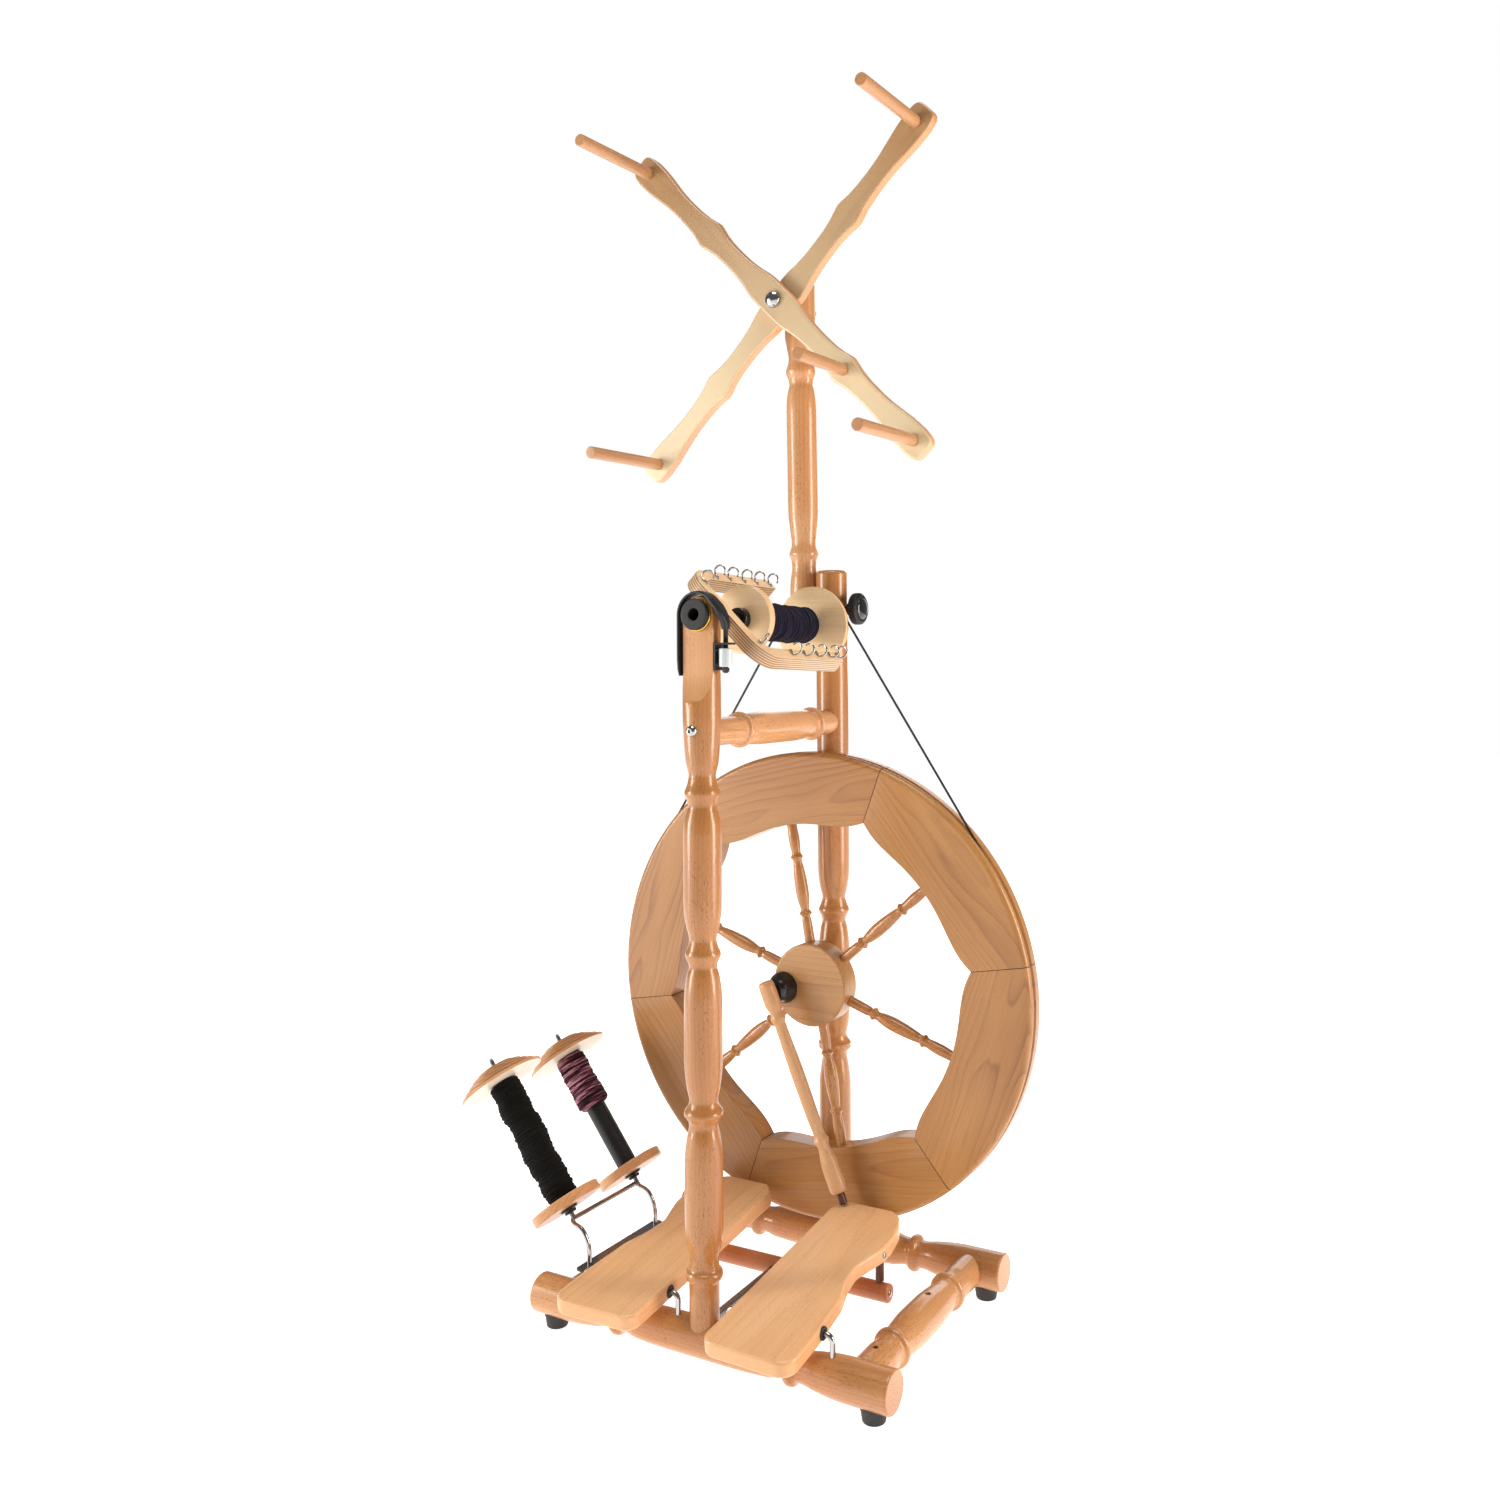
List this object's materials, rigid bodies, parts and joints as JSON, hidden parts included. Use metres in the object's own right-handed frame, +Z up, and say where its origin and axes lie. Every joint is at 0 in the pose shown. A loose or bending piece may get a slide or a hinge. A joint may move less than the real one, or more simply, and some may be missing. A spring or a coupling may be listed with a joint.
{
  "type": "spinning wheel",
  "caption": "Upright treadle spinning wheel with flyer and bobbin over a wooden drive wheel, two treadles on a rocker, a skein winder and a lazy kate.",
  "frame": {"origin": "floor level under the middle of the whole object's footprint", "axes": "+X to the spinner's right along the base rails as seen from the front, +Y from the spinner to the rear, +Z up"},
  "size_m": [0.5707, 0.3506, 1.2507],
  "materials": {
    "beech": "clear satin lacquer",
    "rubber_foot": "matte",
    "steel": "brushed",
    "brass_ring": "polished",
    "black_plastic": "satin",
    "belt_cord": "matte",
    "chrome_wire": "polished",
    "rim_wood": "clear satin lacquer",
    "pale_ply": "clear satin lacquer",
    "navy_yarn": "matte",
    "white_plastic": "satin",
    "treadle_wood": "clear satin lacquer",
    "brown_link": "satin",
    "plum_yarn": "matte"
  },
  "bodies": {
    "stand": {"front_rail": "beech", "rear_rail": "beech", "left_stretcher": "beech", "right_stretcher": "beech", "foot_front_left": "rubber_foot", "foot_front_right": "rubber_foot", "foot_rear_left": "rubber_foot", "foot_rear_right": "rubber_foot", "front_post": "beech", "rear_post": "beech", "top_rail": "beech", "post_screw": "steel", "orifice_bearing": "brass_ring", "brake_strap": "black_plastic", "brake_bracket": "black_plastic", "axle": "steel", "drive_band": "belt_cord", "hook_right_outer": "chrome_wire", "hook_right_inner": "chrome_wire", "hook_left_inner": "chrome_wire", "hook_left_outer": "chrome_wire", "rocker_arm": "steel", "kate_frame": "chrome_wire"},
    "wheel": {"rim_segment_1": "rim_wood", "rim_segment_2": "rim_wood", "rim_segment_3": "rim_wood", "rim_segment_4": "rim_wood", "rim_segment_5": "rim_wood", "rim_segment_6": "rim_wood", "spoke_1": "beech", "spoke_2": "beech", "spoke_3": "beech", "spoke_4": "beech", "spoke_5": "beech", "spoke_6": "beech", "hub": "rim_wood", "crank_knuckle": "black_plastic"},
    "bobbin": {"bobbin_core": "black_plastic", "bobbin_flange": "pale_ply", "bobbin_whorl": "pale_ply", "bobbin_yarn": "navy_yarn"},
    "flyer": {"flyer_shaft": "black_plastic", "flyer_frame": "pale_ply"},
    "brake_screw": {"brake_knob": "white_plastic"},
    "right_treadle": {"treadle_right": "treadle_wood"},
    "left_treadle": {"treadle_left": "treadle_wood"},
    "rocker": {"rocker_bar": "beech"},
    "right_rocker_link": {"rocker_link_right": "brown_link"},
    "left_rocker_link": {"rocker_link_left": "brown_link"},
    "footman_joint": {"footman_link": "brown_link"},
    "footman_stick": {"footman": "pale_ply"},
    "winder_stand": {"winder_post": "beech"},
    "winder": {"winder_arm_front": "pale_ply", "winder_bolt": "chrome_wire"},
    "winder_rear_arm": {"winder_arm_rear": "pale_ply"},
    "clamp": {"clamp_knob": "black_plastic"},
    "front_spare_bobbin": {"kate_bobbin_front": "pale_ply", "kate_yarn_front": "navy_yarn"},
    "rear_spare_bobbin": {"kate_bobbin_rear": "pale_ply", "kate_yarn_rear": "plum_yarn"}
  },
  "joints": [
    {"name": "wheel_spin", "type": "hinge", "parent": "stand", "child": "wheel", "pos_m": [0.0359, 0.10785, 0.3147], "axis": [0, 1, 0], "continuous": true},
    {"name": "bobbin_spin", "type": "hinge", "parent": "stand", "child": "bobbin", "pos_m": [0.0359, -0.12215, 0.708], "axis": [0, 0.9996, -0.0297], "continuous": true},
    {"name": "flyer_spin", "type": "hinge", "parent": "stand", "child": "flyer", "pos_m": [0.0359, -0.12215, 0.708], "axis": [0, 0.9996, -0.0297], "continuous": true},
    {"name": "brake_turn", "type": "hinge", "parent": "stand", "child": "brake_screw", "pos_m": [0.0633, -0.10915, 0.665], "axis": [0, 0, 1], "range_deg": [-360, 360]},
    {"name": "right_treadle_rock", "type": "hinge", "parent": "stand", "child": "right_treadle", "pos_m": [0.0359, -0.11215, 0.0651], "axis": [1, 0, 0], "range_deg": [-9.3, 9.3]},
    {"name": "left_treadle_rock", "type": "hinge", "parent": "stand", "child": "left_treadle", "pos_m": [0.0359, -0.11215, 0.0651], "axis": [1, 0, 0], "range_deg": [-9.3, 9.3]},
    {"name": "rocker_tilt", "type": "hinge", "parent": "stand", "child": "rocker", "pos_m": [0.0359, 0.02585, 0.0425], "axis": [0, 1, 0], "range_deg": [-11.1, 11.1]},
    {"name": "right_rocker_link_turn", "type": "hinge", "parent": "right_treadle", "child": "right_rocker_link", "pos_m": [0.1519, 0.02585, 0.07411], "axis": [1, 0, 0], "range_deg": [-9.3, 9.3]},
    {"name": "left_rocker_link_turn", "type": "hinge", "parent": "left_treadle", "child": "left_rocker_link", "pos_m": [-0.0801, 0.02585, 0.07411], "axis": [1, 0, 0], "range_deg": [-9.3, 9.3]},
    {"name": "footman_link_bend", "type": "hinge", "parent": "right_treadle", "child": "footman_joint", "pos_m": [0.0849, 0.07685, 0.096], "axis": [1, 0, 0], "range_deg": [-10.2, 10.2]},
    {"name": "footman_swing", "type": "hinge", "parent": "footman_joint", "child": "footman_stick", "pos_m": [0.0849, 0.07685, 0.096], "axis": [0, 1, 0], "range_deg": [-1, 16.5]},
    {"name": "winder_tilt", "type": "hinge", "parent": "stand", "child": "winder_stand", "pos_m": [0.0013, 0.14835, 0.7205], "axis": [1, 0, 0], "range_deg": [-90, 0.5]},
    {"name": "winder_spin", "type": "hinge", "parent": "winder_stand", "child": "winder", "pos_m": [0.0013, 0.14119, 1.06212], "axis": [0, 0.9998, 0.0209], "continuous": true},
    {"name": "winder_fold", "type": "hinge", "parent": "winder", "child": "winder_rear_arm", "pos_m": [0.0013, 0.14119, 1.06212], "axis": [0, 0.9998, 0.0209], "range_deg": [-80, 80]},
    {"name": "clamp_turn", "type": "hinge", "parent": "stand", "child": "clamp", "pos_m": [0.0359, 0.14835, 0.7213], "axis": [1, 0, 0], "range_deg": [-360, 360]},
    {"name": "front_spare_bobbin_spin", "type": "hinge", "parent": "stand", "child": "front_spare_bobbin", "pos_m": [-0.1517, -0.07365, 0.093], "axis": [-0.617, 0, 0.7869], "continuous": true},
    {"name": "rear_spare_bobbin_spin", "type": "hinge", "parent": "stand", "child": "rear_spare_bobbin", "pos_m": [-0.1517, 0.03335, 0.093], "axis": [-0.617, 0, 0.7869], "continuous": true}
  ],
  "couplings": [
    {"joint": "bobbin_spin", "follows": "wheel_spin", "ratio": 7.2925},
    {"joint": "left_treadle_rock", "follows": "right_treadle_rock", "ratio": -1},
    {"joint": "rocker_tilt", "follows": "right_treadle_rock", "ratio": -1.19},
    {"joint": "right_rocker_link_turn", "follows": "right_treadle_rock", "ratio": -1},
    {"joint": "left_rocker_link_turn", "follows": "right_treadle_rock", "ratio": 1},
    {"joint": "footman_link_bend", "follows": "right_treadle_rock", "ratio": -1.09}
  ]
}
